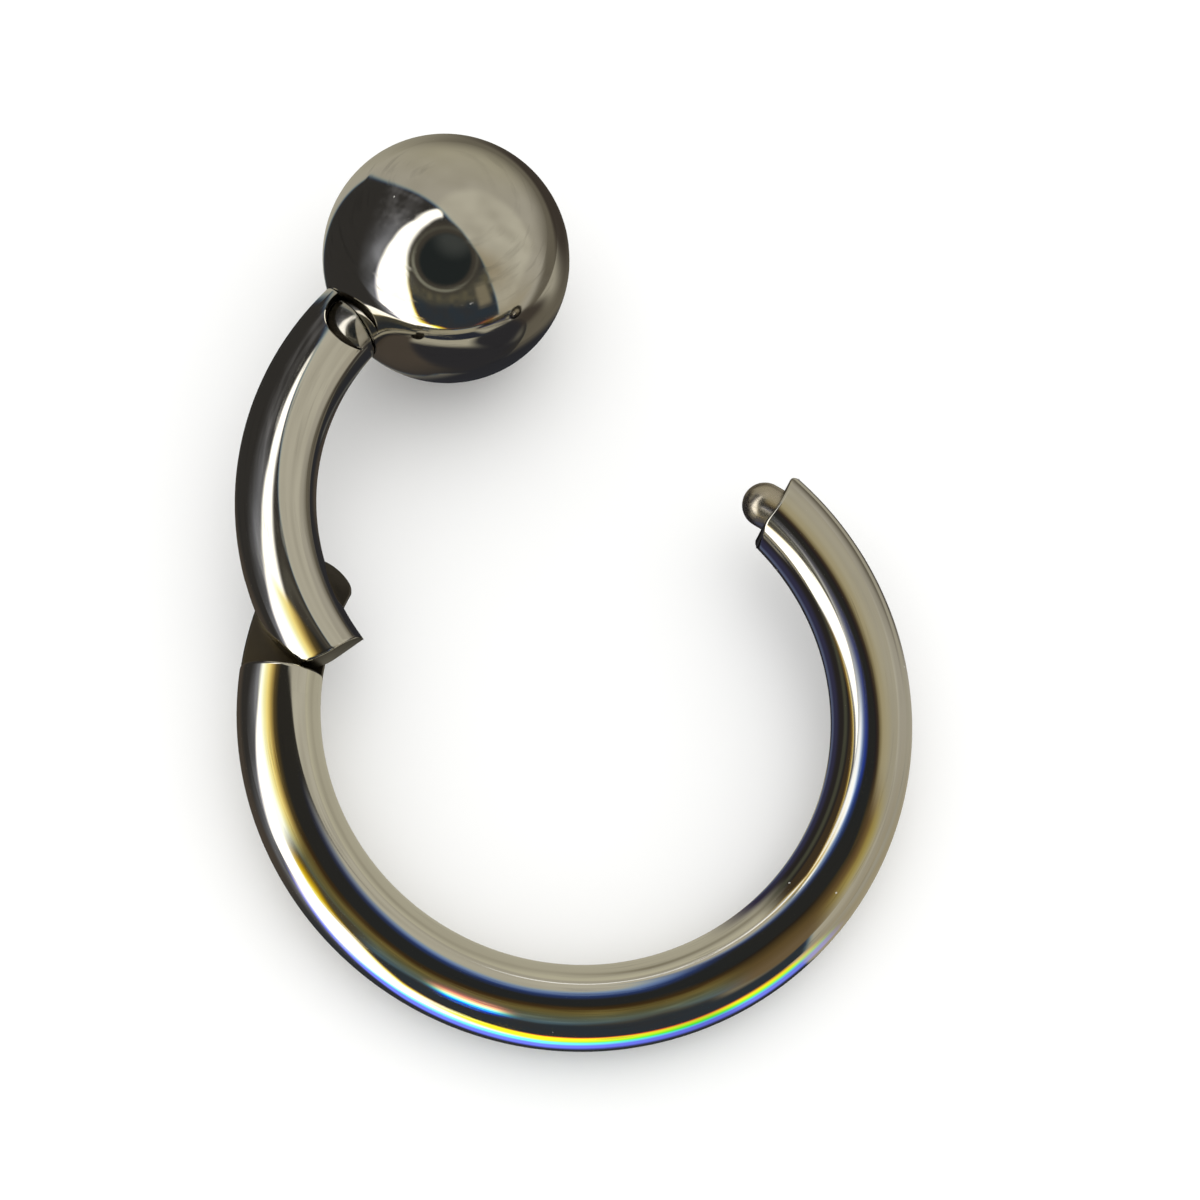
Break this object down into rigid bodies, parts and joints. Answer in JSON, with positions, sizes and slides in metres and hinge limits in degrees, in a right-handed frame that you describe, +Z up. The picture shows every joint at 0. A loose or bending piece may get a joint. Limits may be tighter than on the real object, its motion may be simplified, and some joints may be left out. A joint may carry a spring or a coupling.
{
  "type": "hinged segment ring with fixed ball",
  "caption": "Body jewellery ring of round steel wire. A hinged segment carries a ball that swings open and snaps over a catch pin in the ring's other end.",
  "frame": {"origin": "on the floor, under the middle of the opened ring's bounding box as it lies on its side", "axes": "+Z up, +Y along the longest side, from the wire towards the swung ball, +X from the hinge towards the catch end"},
  "size_m": [0.0134, 0.0186, 0.0051],
  "materials": {
    "ring_steel": "mirror polished steel",
    "ball_steel": "mirror polished steel",
    "pin_steel": "plain ground steel"
  },
  "bodies": {
    "ring": {"ring_arc": "ring_steel", "catch_pin": "pin_steel"},
    "segment": {"hinged_segment": "ring_steel", "hinge_pin": "pin_steel", "ball": "ball_steel"}
  },
  "joints": [
    {"name": "segment_hinge", "type": "hinge", "parent": "ring", "child": "segment", "pos_m": [-0.00538, -0.0009, 0.0017], "axis": [0.0069, -0.113, 0.9936], "range_deg": [-43.5, 51.5]}
  ]
}
